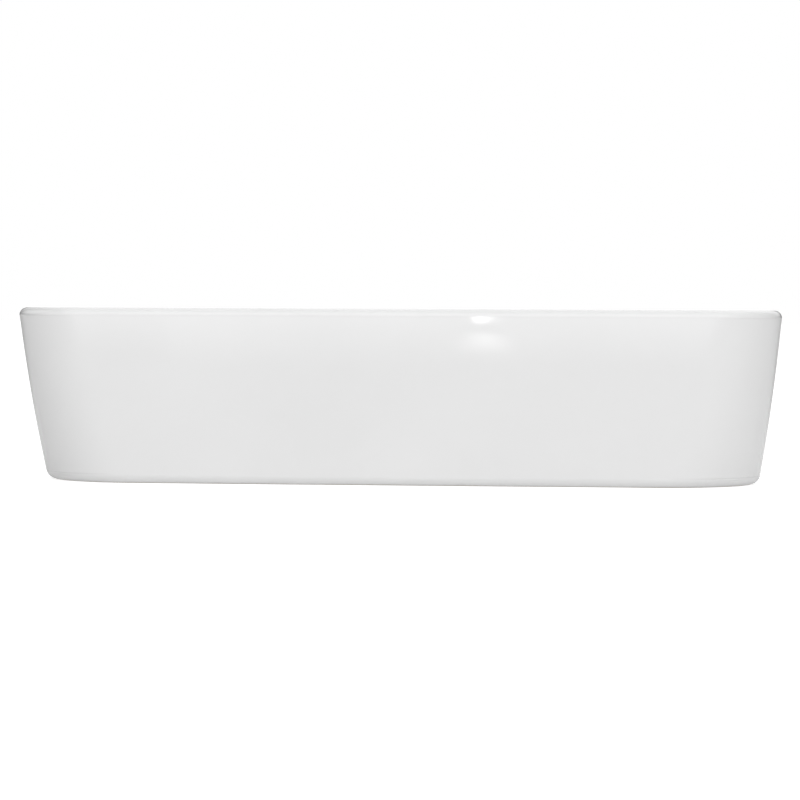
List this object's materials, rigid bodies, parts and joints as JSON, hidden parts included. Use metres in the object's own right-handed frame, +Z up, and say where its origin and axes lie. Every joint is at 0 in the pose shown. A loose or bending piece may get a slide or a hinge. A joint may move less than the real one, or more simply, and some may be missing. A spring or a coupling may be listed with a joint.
{
  "type": "countertop basin",
  "caption": "Oblong countertop wash basin in glazed ceramic with soft corners, outward-leaning walls and a push-button waste.",
  "frame": {"origin": "centre of the foot, on the counter's surface", "axes": "+X along the basin's width, +Y towards its back, +Z up"},
  "size_m": [0.6, 0.4, 0.136],
  "materials": {
    "glaze": "clear white glaze, bare foot",
    "rubber": "matte",
    "chrome": "polished",
    "brass": "turned, bare",
    "washer_plastic": "moulded",
    "latch_plastic": "moulded",
    "spring_steel": "drawn wire"
  },
  "bodies": {
    "basin": {"basin": "glaze", "flange_seal": "rubber", "waste_flange": "chrome", "underside_seal": "rubber", "slip_washer": "washer_plastic", "waste_tail": "chrome", "cartridge_sleeve": "brass", "guide_bush": "brass", "click_spring": "spring_steel"},
    "plug": {"plug_stem": "chrome", "stem_nut": "brass", "plug_cap": "chrome", "plug_seal": "rubber"},
    "latch": {"latch_ring": "latch_plastic"}
  },
  "joints": [
    {"name": "plug_press", "type": "slide", "parent": "basin", "child": "plug", "axis": [0, 0, 1], "range_m": [-0.0098, 0], "stiffness_N_per_m": 800, "springref_m": 0.006, "deforming": ["click_spring"]},
    {"name": "latch_turn", "type": "hinge", "parent": "basin", "child": "latch", "pos_m": [0, 0, 0.0225], "axis": [0, 0, 1], "range_deg": [0, 60]}
  ],
  "couplings": [
    {"joint": "latch_turn", "follows": "plug_press", "rad_per_m": -106.85}
  ]
}
